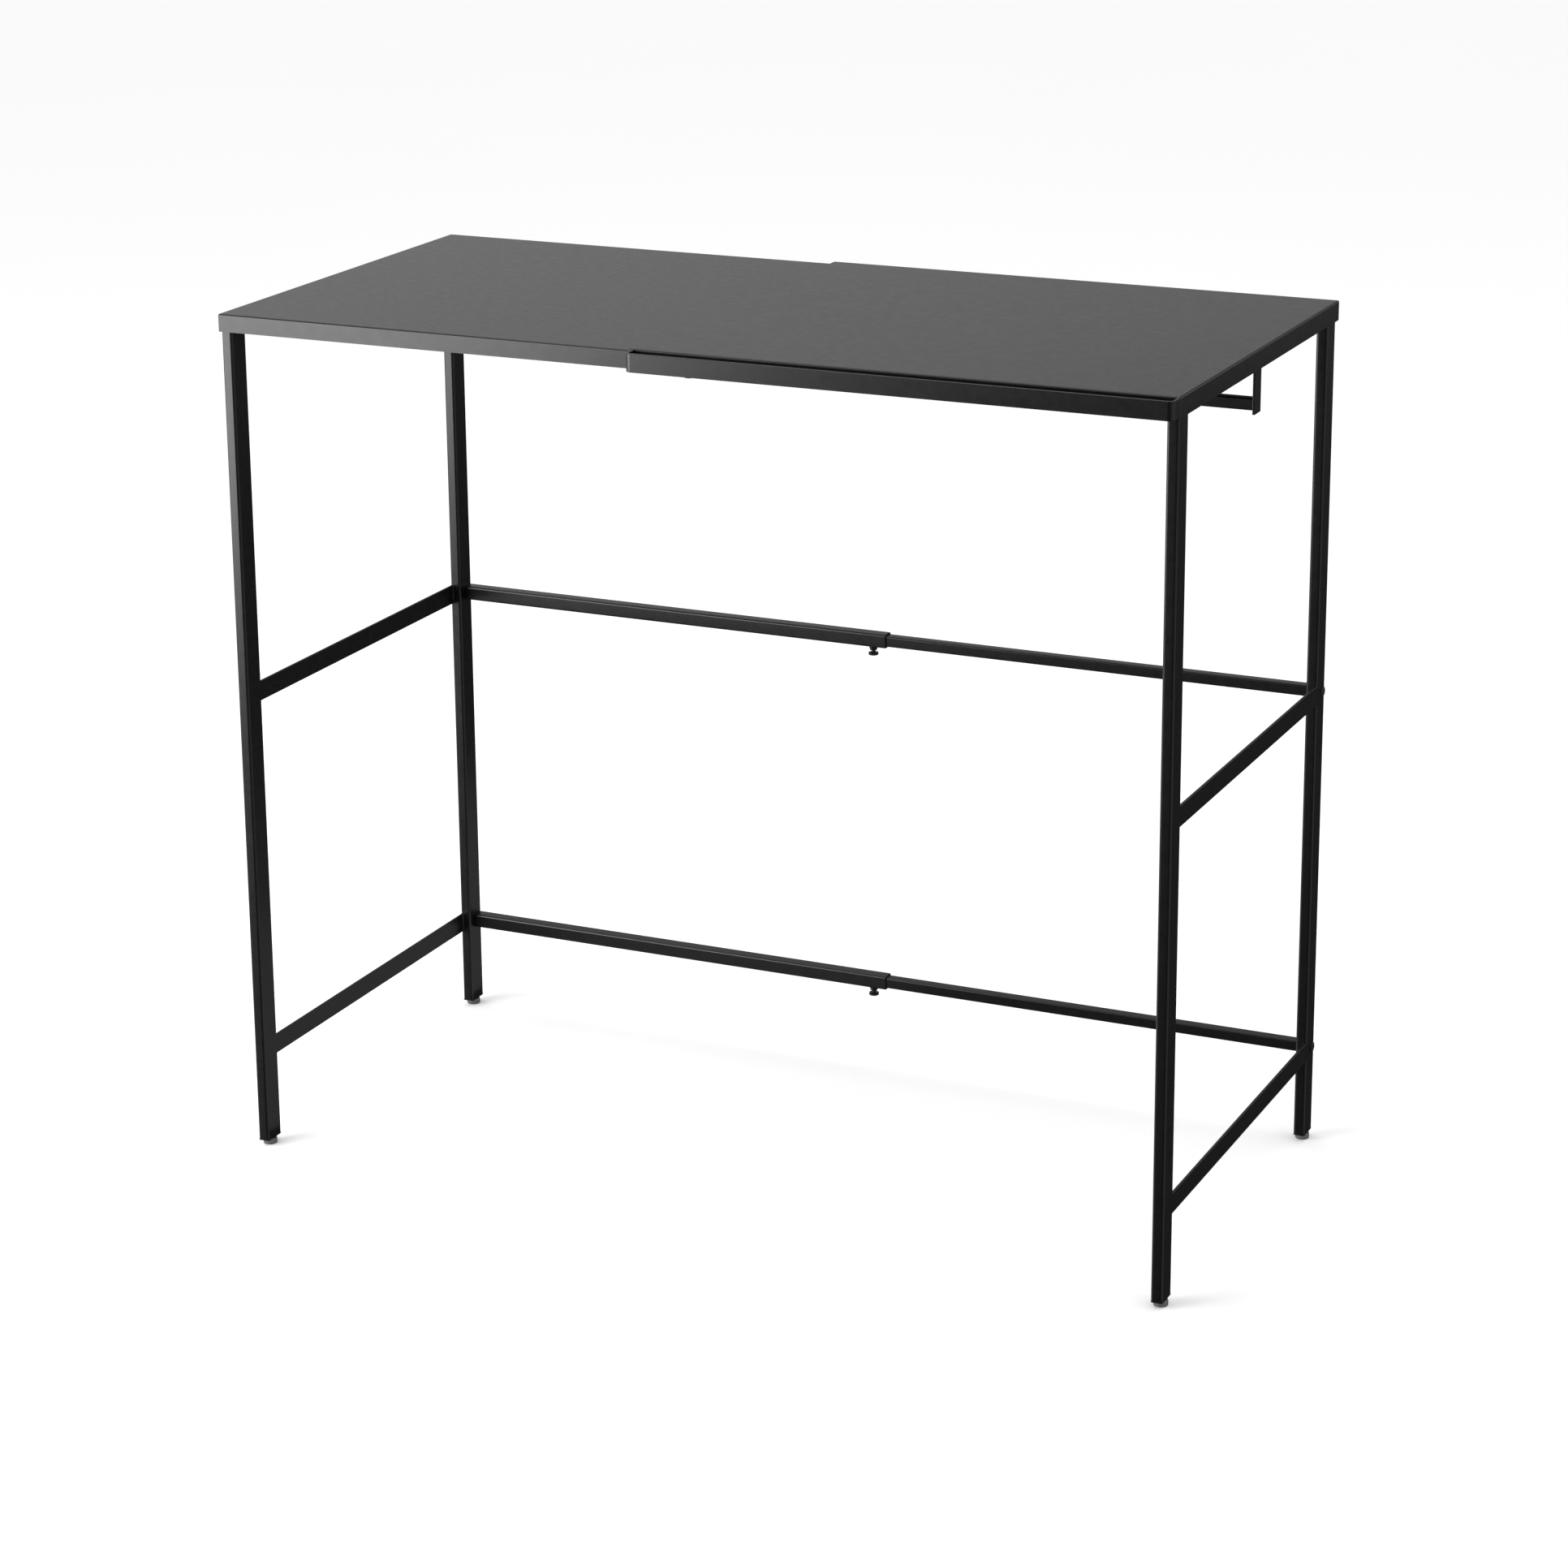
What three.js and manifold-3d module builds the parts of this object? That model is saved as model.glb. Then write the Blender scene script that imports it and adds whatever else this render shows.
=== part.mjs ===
// Extending steel side table: two welded end frames joined by five telescoping
// rails. The left panel slides under the right panel, so the table changes width.
// Millimetres, +Z up. The origin is on the floor, under the middle of the whole.
import * as THREE from 'three';
import { mergeVertices } from 'three/addons/utils/BufferGeometryUtils.js';
import Module from 'manifold-3d';

const wasm = await Module();
wasm.setup();

// ---- Driving dimensions ------------------------------------------------------
const FRAME_W = 958; // over the outer faces of the legs, at the width built here
const FRAME_D = 450; // over the front and back faces of the legs
const TOP_Z = 850; // upper face of the left panel
const GAP = 0.3; // clearance at a weld or a seat
const LEG = { x: 11.5, y: 25, wall: 1.2, radius: 1.5, bottom: 7.7 };
const OUTER = { side: 14.5, wall: 1.2, radius: 1.8 };
const INNER = { side: 11.3, wall: 1.2, radius: 1.3 };
const FLAT = { thick: 2.5, height: 20, topHeight: 14 };
const PANEL = { sheet: 1.6, clearance: 0.4, step: 2, skirtBottom: 833, corner: 2.2 };
const MID_Z = 467; // centre height of the middle rails
const LOW_Z = 96.5; // centre height of the lower rails
const TOP_RAIL_INSET = 22.5; // top rails' centre line behind the legs' outer faces
const HOOK = { thick: 2.5, height: 17.5, reach: 17.3, bend: 6, top: 851.5 };
const STRAP = { thick: 2.5, width: 17.5, bottom: 789.7, top: 847.5 };
const SCREW = { shank: 2, bore: 2.3, head: 5.15, headHeight: 2.8, nutHeight: 4.2, neck: 2.2 };
const BOLT = { shank: 2.25, bore: 2.55, head: 5, headHeight: 1.7, length: 22.3 };
const FOOT = { radius: 7, height: 6, stud: 2.5, bore: 2.8, studTop: 24 };
const CAP = { flange: 0.9, plugTop: 25, fit: 0.3 };
const INSERT_LENGTH = 12;
const SCREW_INSET = 16; // thumb screw's axis from the outer tube's open end

// ---- Places worked out from them ---------------------------------------------
const LEFT = -FRAME_W / 2;
const RIGHT = FRAME_W / 2;
const SKIRT_OUT = PANEL.clearance + PANEL.sheet; // left skirt's outer face past the legs
const SKIRT_OUT_RIGHT = SKIRT_OUT + PANEL.step;
const HOOK_OUT = SKIRT_OUT_RIGHT + HOOK.reach;
const FRONT = (HOOK_OUT - FRAME_D - SKIRT_OUT_RIGHT) / 2; // front face of the front legs
const BACK = FRONT + FRAME_D;
const MIDDLE_Y = (FRONT + BACK) / 2;
const OUTER_END = LEFT + 498; // open ends of the outer tubes
const INNER_START = LEFT + 460; // inner tubes' ends inside the outer tubes
const PANEL_LEFT_END = LEFT + 495; // left panel's free edge, under the right panel
const PANEL_RIGHT_START = LEFT + 436; // right panel's free edge
const HOOK_START = LEFT + 438;
const RAIL_TOP_Z = TOP_Z - PANEL.sheet - GAP - OUTER.side / 2;
const HANGER_Z = STRAP.bottom + 3 + INNER.side / 2;
const BACK_RAIL_Y = BACK - OUTER.side / 2;

const RAILS = [
  { name: 'top_front', y: FRONT + TOP_RAIL_INSET, z: RAIL_TOP_Z, inset: LEG.x },
  { name: 'top_back', y: BACK - TOP_RAIL_INSET, z: RAIL_TOP_Z, inset: LEG.x },
  { name: 'hanger', y: MIDDLE_Y, z: HANGER_Z, inset: FLAT.thick + GAP + STRAP.thick },
  { name: 'back_mid', y: BACK_RAIL_Y, z: MID_Z, inset: LEG.x, bolted: true },
  { name: 'back_low', y: BACK_RAIL_Y, z: LOW_Z, inset: LEG.x, bolted: true },
];

// ---- Materials ---------------------------------------------------------------
const finish = (color, roughness, metalness) => ({ color, roughness, metalness });
const POWDER_COAT = finish(0x202021, 0.42, 0.1);
const BLACK_PLASTIC = finish(0x141414, 0.6, 0);
const GREY_PLASTIC = finish(0xa3a3a0, 0.55, 0);
const DARK_SCREW = finish(0x1a1a1b, 0.35, 0.7);
const ZINC = finish(0xb3b5b6, 0.35, 0.9);

// ---- Solids ------------------------------------------------------------------
/** A closed geometry as a solid that can be cut and joined. */
function solid(geometry) {
  const bare = geometry.clone();
  bare.deleteAttribute('normal');
  bare.deleteAttribute('uv');
  const merged = mergeVertices(bare, 1e-4);
  return new wasm.Manifold(new wasm.Mesh({
    numProp: 3,
    vertProperties: Float32Array.from(merged.attributes.position.array),
    triVerts: Uint32Array.from(merged.index.array),
  }));
}

/** A solid's surface as a geometry. */
function geometryOf(manifold) {
  const mesh = manifold.getMesh();
  const geometry = new THREE.BufferGeometry();
  geometry.setAttribute('position', new THREE.BufferAttribute(mesh.vertProperties, 3));
  geometry.setIndex(new THREE.BufferAttribute(mesh.triVerts, 1));
  geometry.computeVertexNormals();
  return geometry;
}

/** The geometry with every tool taken out of it. */
function cut(geometry, tools) {
  const left = tools.reduce((body, tool) => body.subtract(solid(tool)), solid(geometry));
  return geometryOf(left);
}

/** A rectangle with round corners, centred on the origin. */
function roundRect(width, height, radius, path = new THREE.Shape()) {
  const x = width / 2 - radius;
  const y = height / 2 - radius;
  path.absarc(x, y, radius, 0, Math.PI / 2);
  path.absarc(-x, y, radius, Math.PI / 2, Math.PI);
  path.absarc(-x, -y, radius, Math.PI, Math.PI * 1.5);
  path.absarc(x, -y, radius, Math.PI * 1.5, Math.PI * 2);
  return path;
}

/** The section of a rectangular tube. */
function tubeSection(width, height, wall, radius) {
  const section = roundRect(width, height, radius);
  const bore = roundRect(width - 2 * wall, height - 2 * wall, 0.4, new THREE.Path());
  section.holes.push(bore);
  return section;
}

/** A section pushed along +Z from z = start to z = end. */
function extrude(section, start, end, curveSegments = 1) {
  const options = { depth: end - start, bevelEnabled: false, curveSegments };
  return new THREE.ExtrudeGeometry(section, options).translate(0, 0, start);
}

/** Turns a geometry made along Z so that it runs along X, with section x, y as Y, Z. */
function alongX(geometry) {
  const [x, y, z] = [[0, 1, 0], [0, 0, 1], [1, 0, 0]].map((v) => new THREE.Vector3(...v));
  return geometry.applyMatrix4(new THREE.Matrix4().makeBasis(x, y, z));
}

/** A box between two corners. */
function box([x0, y0, z0], [x1, y1, z1]) {
  const geometry = new THREE.BoxGeometry(x1 - x0, y1 - y0, z1 - z0);
  return geometry.translate((x0 + x1) / 2, (y0 + y1) / 2, (z0 + z1) / 2);
}

/** A round bar along Z from z = start to z = end. */
function rod(radius, start, end, sides = 20) {
  const geometry = new THREE.CylinderGeometry(radius, radius, end - start, sides);
  return geometry.rotateX(Math.PI / 2).translate(0, 0, (start + end) / 2);
}

/** A turned piece: its profile, as [radius, z] pairs, spun about Z. */
function turned(profile, sides = 24) {
  const points = profile.map(([r, z]) => new THREE.Vector2(r, z));
  return new THREE.LatheGeometry(points, sides).rotateX(Math.PI / 2);
}

// ---- Sub-parts ---------------------------------------------------------------
/** One leg: a rectangular tube, open at both ends, with bolt holes where asked. */
function legTube(topZ, boltHeights) {
  const section = tubeSection(LEG.x, LEG.y, LEG.wall, LEG.radius);
  const tube = extrude(section, LEG.bottom, topZ);
  const holeY = LEG.y / 2 - OUTER.side / 2;
  const holes = boltHeights.map((z) =>
    alongX(rod(BOLT.bore, -LEG.x, LEG.x)).translate(0, holeY, z));
  return holes.length ? cut(tube, holes) : tube;
}

/** The plug in a leg's lower end, bored for the foot's stud. */
function legCap() {
  const flange = extrude(roundRect(LEG.x, LEG.y, LEG.radius), 0, CAP.flange);
  const inside = 2 * (LEG.wall + CAP.fit);
  const plug = extrude(roundRect(LEG.x - inside, LEG.y - inside, 0.4), 0.2,
    CAP.plugTop - LEG.bottom + CAP.flange + GAP);
  const bore = rod(FOOT.bore, -1, CAP.plugTop);
  return geometryOf(solid(flange).add(solid(plug)).subtract(solid(bore)));
}

/** A screw-in levelling foot: round pad and threaded stud. */
function foot() {
  const { radius, height, stud, studTop } = FOOT;
  return turned([[0, 0], [radius - 0.9, 0], [radius, 0.9], [radius, height - 1],
    [radius - 0.6, height], [stud, height], [stud, studTop], [0, studTop]]);
}

/** The plan of a panel, with round corners at x = reach and cut square at x = end. */
function panelPlan(end, reach, half, radius) {
  const shape = new THREE.Shape();
  shape.moveTo(end, -half);
  shape.lineTo(reach - radius, -half);
  shape.absarc(reach - radius, radius - half, radius, -Math.PI / 2, 0);
  shape.absarc(reach - radius, half - radius, radius, 0, Math.PI / 2);
  shape.lineTo(end, half);
  return shape;
}

/** A folded panel: a sheet with skirts on three sides, its closed end at x = 0. */
function foldedPanel(length, topZ, skirtOut) {
  const { sheet, corner, skirtBottom } = PANEL;
  const half = FRAME_D / 2 + skirtOut;
  const body = extrude(panelPlan(-length, 0, half, corner), skirtBottom, topZ, 2);
  const inside = panelPlan(-length - 20, -sheet, half - sheet, corner - sheet);
  const hollow = extrude(inside, skirtBottom - 10, topZ - sheet, 2);
  return cut(body, [hollow]);
}

/** The strip along the front edge, bent back to the skirt at both ends. */
function hookBar() {
  const front = FRONT - HOOK_OUT;
  const root = FRONT - SKIRT_OUT_RIGHT - GAP;
  const shape = new THREE.Shape();
  const [x0, x1] = [HOOK_START, RIGHT + SKIRT_OUT];
  const [r, t] = [HOOK.bend, HOOK.thick];
  shape.moveTo(x0, root);
  shape.lineTo(x0, front + r);
  shape.absarc(x0 + r, front + r, r, Math.PI, Math.PI * 1.5);
  shape.absarc(x1 - r, front + r, r, Math.PI * 1.5, Math.PI * 2);
  shape.lineTo(x1, root);
  shape.lineTo(x1 - t, root);
  shape.absarc(x1 - r, front + r, r - t, Math.PI * 2, Math.PI * 1.5, true);
  shape.absarc(x0 + r, front + r, r - t, Math.PI * 1.5, Math.PI, true);
  shape.lineTo(x0 + t, root);
  return extrude(shape, HOOK.top - HOOK.height, HOOK.top, 3);
}

/** A fixed outer tube, with the thumb screw's hole through its lower wall. */
function outerTube(startX) {
  const section = tubeSection(OUTER.side, OUTER.side, OUTER.wall, OUTER.radius);
  const tube = alongX(extrude(section, startX, OUTER_END));
  const hole = rod(SCREW.bore, -OUTER.side, 0).translate(OUTER_END - SCREW_INSET, 0, 0);
  return cut(tube, [hole]);
}

/** A sliding inner tube, from inside the outer tube to the right end frame. */
function innerTube(endX) {
  const section = tubeSection(INNER.side, INNER.side, INNER.wall, INNER.radius);
  return alongX(extrude(section, INNER_START, endX));
}

/** The tapered hexagonal nut under an outer tube. */
function thumbNut() {
  const nut = new THREE.CylinderGeometry(4.75, 3.7, SCREW.nutHeight, 6);
  nut.rotateX(Math.PI / 2).translate(0, 0, -SCREW.nutHeight / 2);
  return cut(nut, [rod(SCREW.bore, -SCREW.nutHeight - 1, 1)]);
}

/** A thumb screw: shank up through the nut, flat round head below. */
function thumbScrew() {
  const tip = OUTER.side / 2 - INNER.side / 2 - GAP;
  const headTop = -GAP - SCREW.nutHeight - SCREW.neck;
  const headBottom = headTop - SCREW.headHeight;
  const { head, shank } = SCREW;
  return turned([[0, headBottom], [head - 0.5, headBottom], [head, headBottom + 0.5],
    [head, headTop - 0.5], [head - 0.5, headTop], [shank, headTop], [shank, tip], [0, tip]]);
}

/** A low-headed bolt, head at -X and shank towards +X from x = 0. */
function railBolt() {
  const { head, headHeight, shank, length } = BOLT;
  const profile = [[0, -headHeight], [head - 1.6, -headHeight], [head - 0.5, -0.9],
    [head, 0], [shank, 0], [shank, length], [0, length]];
  return alongX(turned(profile, 20));
}

/** The threaded block inside a rail's end. */
function railInsert(side) {
  const section = roundRect(side, side, 0.5);
  section.holes.push(new THREE.Path().absarc(0, 0, BOLT.bore, 0, Math.PI * 2));
  return alongX(extrude(section, 0, INSERT_LENGTH, 6));
}

// ---- Assembly ----------------------------------------------------------------
const table = new THREE.Group();

/** Adds one named piece to the table. */
function place(name, geometry, look, x = 0, y = 0, z = 0, turn = 0) {
  const mesh = new THREE.Mesh(geometry, new THREE.MeshStandardMaterial(look));
  mesh.name = name;
  mesh.position.set(x, y, z);
  mesh.rotation.z = turn;
  table.add(mesh);
}

/** An end frame: legs, caps, feet and the flat bars between the legs. */
function placeEndFrame(side, outerX, topZ) {
  const inward = side === 'left' ? 1 : -1;
  const legX = outerX + inward * LEG.x / 2;
  const corners = [['front', FRONT + LEG.y / 2, []], ['back', BACK - LEG.y / 2, [MID_Z, LOW_Z]]];
  for (const [end, y, bolts] of corners) {
    place(`leg_${end}_${side}`, legTube(topZ, bolts), POWDER_COAT, legX, y);
    place(`leg_cap_${end}_${side}`, legCap(), BLACK_PLASTIC, legX, y,
      LEG.bottom - GAP - CAP.flange);
    place(`foot_${end}_${side}`, foot(), GREY_PLASTIC, legX, y);
  }
  const bars = [['mid', MID_Z, FLAT.height], ['low', LOW_Z, FLAT.height],
    ['top', topZ - GAP - FLAT.topHeight / 2, FLAT.topHeight]];
  for (const [level, z, height] of bars) {
    const low = [Math.min(outerX, outerX + inward * FLAT.thick), FRONT + LEG.y + GAP, z - height / 2];
    const high = [low[0] + FLAT.thick, BACK - LEG.y - GAP, z + height / 2];
    place(`side_rail_${level}_${side}`, box(low, high), POWDER_COAT);
  }
  const strapX = outerX + inward * (FLAT.thick + GAP + STRAP.thick / 2);
  const strap = box([-STRAP.thick / 2, -STRAP.width / 2, STRAP.bottom],
    [STRAP.thick / 2, STRAP.width / 2, STRAP.top]);
  place(`hanger_strap_${side}`, strap, POWDER_COAT, strapX, MIDDLE_Y);
}

/** One telescoping rail with its nut and thumb screw. */
function placeRail({ name, y, z, inset }) {
  const screwX = OUTER_END - SCREW_INSET;
  const under = z - OUTER.side / 2;
  place(`outer_tube_${name}`, outerTube(LEFT + inset + GAP), POWDER_COAT, 0, y, z);
  place(`inner_tube_${name}`, innerTube(RIGHT - inset - GAP), POWDER_COAT, 0, y, z);
  place(`thumb_nut_${name}`, thumbNut(), DARK_SCREW, screwX, y, under - GAP);
  place(`thumb_screw_${name}`, thumbScrew(), DARK_SCREW, screwX, y, under);
}

/** The bolts through the back legs, and the threaded blocks that they hold. */
function placeRailFixings({ name, y, z }) {
  const seat = LEG.x + 2 * GAP;
  const outerSide = OUTER.side - 2 * (OUTER.wall + GAP);
  const innerSide = INNER.side - 2 * (INNER.wall + GAP);
  place(`rail_insert_${name}_left`, railInsert(outerSide), ZINC, LEFT + seat, y, z);
  place(`rail_insert_${name}_right`, railInsert(innerSide), ZINC,
    RIGHT - seat - INSERT_LENGTH, y, z);
  place(`rail_bolt_${name}_left`, railBolt(), DARK_SCREW, LEFT - GAP, y, z);
  place(`rail_bolt_${name}_right`, railBolt(), DARK_SCREW, RIGHT + GAP, y, z, Math.PI);
}

const underLeft = TOP_Z - PANEL.sheet - GAP;
placeEndFrame('left', LEFT, underLeft);
placeEndFrame('right', RIGHT, underLeft + PANEL.step);
const leftEnd = LEFT - SKIRT_OUT;
const rightEnd = RIGHT + SKIRT_OUT;
const leftPanel = foldedPanel(PANEL_LEFT_END - leftEnd, TOP_Z, SKIRT_OUT);
const rightPanel = foldedPanel(rightEnd - PANEL_RIGHT_START, TOP_Z + PANEL.step, SKIRT_OUT_RIGHT);
place('top_panel_left', leftPanel, POWDER_COAT, leftEnd, MIDDLE_Y, 0, Math.PI);
place('top_panel_right', rightPanel, POWDER_COAT, rightEnd, MIDDLE_Y);
place('hook_bar', hookBar(), POWDER_COAT);
RAILS.forEach(placeRail);
RAILS.filter((rail) => rail.bolted).forEach(placeRailFixings);

export default table;
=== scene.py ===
"""Looks of an extending steel side table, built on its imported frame.

Two welded end frames carry two lapped top panels. Five telescoping rails with
thumb screws join them, a bar along the front takes hooks and cloths, and the
table stands on four screw-in feet. Metres, +Z up, the origin on the floor.
"""

import logging
import math
from contextlib import contextmanager
from dataclasses import dataclass, field
from enum import Enum
from typing import Callable, Iterator, Sequence

import bmesh
import bpy
from bpy.types import Material, Node, NodeSocket, NodeTree, Object
from mathutils import Matrix, Vector


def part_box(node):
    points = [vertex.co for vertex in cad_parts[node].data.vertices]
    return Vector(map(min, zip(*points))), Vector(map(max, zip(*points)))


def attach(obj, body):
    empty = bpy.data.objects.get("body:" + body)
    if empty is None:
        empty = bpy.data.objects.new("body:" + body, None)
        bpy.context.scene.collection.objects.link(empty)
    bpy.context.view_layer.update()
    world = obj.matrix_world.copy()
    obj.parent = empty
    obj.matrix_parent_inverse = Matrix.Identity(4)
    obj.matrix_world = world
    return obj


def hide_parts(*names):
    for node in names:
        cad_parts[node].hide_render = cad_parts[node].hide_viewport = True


LOG = logging.getLogger("table")
MM = 0.001
FLAT = 0.99  # how nearly a normal or an edge must follow an axis to count as along it
X, Y, Z = 0, 1, 2
SHARP_TURN = 40.0  # degrees past which an edge of a small part counts as sharp
HOLE_SIDES = 28
TURNED_SIDES = 36
NEAR_RIM = 0.98  # the share of a head's radius past which a face is on its side
UPRIGHT = 0.1  # the most that an upright face's normal rises or falls
WELD = 0.002 * MM  # points nearer than this are merged
DUST_COLOUR = (0.42, 0.41, 0.39)
DUST_ROUGHNESS = 0.5
WHITE = (1.0, 1.0, 1.0, 1.0)

Colour = tuple[float, float, float]
Profile = Sequence[tuple[float, float]]

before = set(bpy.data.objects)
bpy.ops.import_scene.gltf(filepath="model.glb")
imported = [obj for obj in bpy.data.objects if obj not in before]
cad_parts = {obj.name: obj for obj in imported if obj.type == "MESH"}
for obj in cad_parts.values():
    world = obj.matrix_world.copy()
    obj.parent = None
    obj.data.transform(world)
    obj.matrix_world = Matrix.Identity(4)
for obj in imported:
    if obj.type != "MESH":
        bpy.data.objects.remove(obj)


# ---- Named options --------------------------------------------------------------


class Side(Enum):
    """The two end frames."""

    LEFT = "left"
    RIGHT = "right"

    @property
    def inward(self) -> int:
        """Which way along X the middle of the table lies."""
        return 1 if self is Side.LEFT else -1

    @property
    def body(self) -> str:
        """The moving body that this end frame is."""
        return f"{self.value}_frame"


class Slot(Enum):
    """The record's material slots."""

    STEEL = "powder_coat"
    FASTENER = "dark_fastener"
    INSERT = "zinc_insert"
    CAP = "leg_cap"
    FOOT = "foot_pad"


class Part(Enum):
    """What an edit-mode step picks."""

    EDGE = "EDGE"
    FACE = "FACE"


# ---- Edit-mode steps ------------------------------------------------------------


def activate(piece: Object) -> None:
    """Selects one piece alone and makes it the active one.

    Args:
        piece: The object that the next operator works on.
    """
    bpy.ops.object.select_all(action="DESELECT")
    piece.select_set(True)
    bpy.context.view_layer.objects.active = piece


@contextmanager
def editing(piece: Object) -> Iterator[None]:
    """Holds a piece in edit mode for the steps inside the block.

    Args:
        piece: The mesh object to edit.
    """
    activate(piece)
    bpy.ops.object.mode_set(mode="EDIT")
    try:
        yield
    finally:
        bpy.ops.object.mode_set(mode="OBJECT")


def pick(piece: Object, part: Part, wanted: Callable[..., bool]) -> None:
    """Selects the edges or faces that a test accepts, and nothing else.

    Args:
        piece: The object in edit mode.
        part: Whether edges or faces are picked.
        wanted: Takes one edge or face and says whether it is picked.
    """
    bpy.ops.mesh.select_mode(type=part.value)
    bpy.ops.mesh.select_all(action="DESELECT")
    mesh = bmesh.from_edit_mesh(piece.data)
    mesh.normal_update()
    for item in mesh.edges if part is Part.EDGE else mesh.faces:
        if wanted(item):
            item.select_set(True)
    mesh.select_flush_mode()
    bmesh.update_edit_mesh(piece.data)


def runs_along(edge: bmesh.types.BMEdge, axis: int) -> bool:
    """Says whether an edge is parallel to an axis."""
    step = edge.verts[1].co - edge.verts[0].co
    return abs(step[axis]) > FLAT * step.length


def centred(low: Vector, high: Vector, height: float) -> Vector:
    """The point at a height over the middle of a box's plan."""
    return Vector(((low.x + high.x) / 2, (low.y + high.y) / 2, height))


def block(name: str, low: Vector, high: Vector) -> Object:
    """Adds a box between two corners, its place in its mesh.

    Args:
        name: The object's name.
        low: The lowest corner.
        high: The highest corner.

    Returns:
        The new object, at the origin.
    """
    bpy.ops.object.select_all(action="DESELECT")
    bpy.ops.mesh.primitive_cube_add(size=1.0, location=(low + high) / 2)
    piece = bpy.context.active_object
    piece.name = piece.data.name = name
    piece.scale = high - low
    bpy.ops.object.transform_apply(location=True, rotation=True, scale=True)
    return piece


def turned(name: str, profile: Profile, steps: int = TURNED_SIDES) -> Object:
    """Spins a profile about Z, through the origin, into a closed body.

    Args:
        name: The object's name.
        profile: Pairs of radius and height, from axis to axis or round a ring.
        steps: How many sides the round body has.

    Returns:
        The new object, at the origin.
    """
    bpy.ops.object.select_all(action="DESELECT")
    bpy.ops.mesh.primitive_plane_add(size=MM)
    piece = bpy.context.active_object
    piece.name = piece.data.name = name
    with editing(piece):
        bpy.ops.mesh.select_mode(type="VERT")
        bpy.ops.mesh.select_all(action="SELECT")
        bpy.ops.mesh.merge(type="CENTER")
        start = Vector((profile[0][0], 0.0, profile[0][1]))
        bpy.ops.transform.translate(value=start)
        for (r0, z0), (r1, z1) in zip(profile, profile[1:]):
            move = {"value": (r1 - r0, 0.0, z1 - z0)}
            bpy.ops.mesh.extrude_vertices_move(TRANSFORM_OT_translate=move)
        bpy.ops.mesh.select_all(action="SELECT")
        full = {"steps": steps, "angle": math.tau}
        bpy.ops.mesh.spin(center=(0, 0, 0), axis=(0, 0, 1), **full)
        bpy.ops.mesh.select_all(action="SELECT")
        bpy.ops.mesh.remove_doubles(threshold=WELD)
        bpy.ops.mesh.normals_make_consistent(inside=False)
    return piece


def thread_rings(
    radius: float, depth: float, pitch: float, start: float, end: float
) -> list[tuple[float, float]]:
    """Lists the profile points of a thread, as rings.

    Args:
        radius: The thread's outer radius.
        depth: How deep its grooves are.
        pitch: How far its grooves are apart.
        start: The height where it starts.
        end: The height of the shank's end.

    Returns:
        Pairs of radius and height.
    """
    points = []
    height = start + pitch / 2
    while height < end - pitch:
        points += [(radius - depth, height), (radius, height + pitch / 2)]
        height += pitch
    return points


def place(piece: Object, spot: Vector, turn: Matrix | None = None) -> Object:
    """Moves a piece to its spot and puts the place into its mesh.

    Args:
        piece: The object to move.
        spot: Where its origin goes.
        turn: How it is turned before that, if at all.

    Returns:
        The same object, at the origin again.
    """
    piece.matrix_world = Matrix.Translation(spot) @ (turn or Matrix.Identity(4))
    activate(piece)
    bpy.ops.object.transform_apply(location=True, rotation=True, scale=True)
    return piece


def copy_of(piece: Object, name: str) -> Object:
    """Copies a piece with a mesh of its own.

    Args:
        piece: The object to copy.
        name: The copy's name.

    Returns:
        The copy, linked into the scene.
    """
    twin = piece.copy()
    twin.data = piece.data.copy()
    twin.name = twin.data.name = name
    bpy.context.scene.collection.objects.link(twin)
    return twin


def discard(piece: Object) -> None:
    """Removes a piece that was only a pattern or a cutter."""
    bpy.data.objects.remove(piece, do_unlink=True)


def finish_modifier(piece: Object, kind: str, **settings: object) -> None:
    """Adds one modifier and applies it at once.

    Args:
        piece: The object to change.
        kind: The modifier's type.
        **settings: Values for the modifier's properties.
    """
    activate(piece)
    modifier = piece.modifiers.new(kind.title(), kind)
    for key, value in settings.items():
        setattr(modifier, key, value)
    bpy.ops.object.modifier_apply(modifier=modifier.name)


def thicken(piece: Object, wall: float) -> None:
    """Gives an open sheet or shell its wall, inwards from its outer face."""
    finish_modifier(
        piece, "SOLIDIFY", thickness=wall, offset=-1.0, use_even_offset=True, use_rim=True
    )


def ease_edges(piece: Object, width: float, segments: int = 2) -> None:
    """Rounds the edges that are still sharp.

    Args:
        piece: The object to change.
        width: How far in from the edge the rounding starts.
        segments: How many faces the rounding has.
    """
    limit = {"limit_method": "ANGLE", "angle_limit": math.radians(SHARP_TURN)}
    finish_modifier(
        piece, "BEVEL", width=width, segments=segments, use_clamp_overlap=True, **limit
    )


def smooth(piece: Object, degrees: float = 32.0) -> None:
    """Shades the rounded edges smooth and keeps the flats flat.

    Args:
        piece: The object to shade.
        degrees: The angle past which an edge stays sharp.
    """
    activate(piece)
    bpy.ops.object.shade_smooth_by_angle(angle=math.radians(degrees))
    finish_modifier(piece, "WEIGHTED_NORMAL", weight=60, keep_sharp=True)


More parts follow.
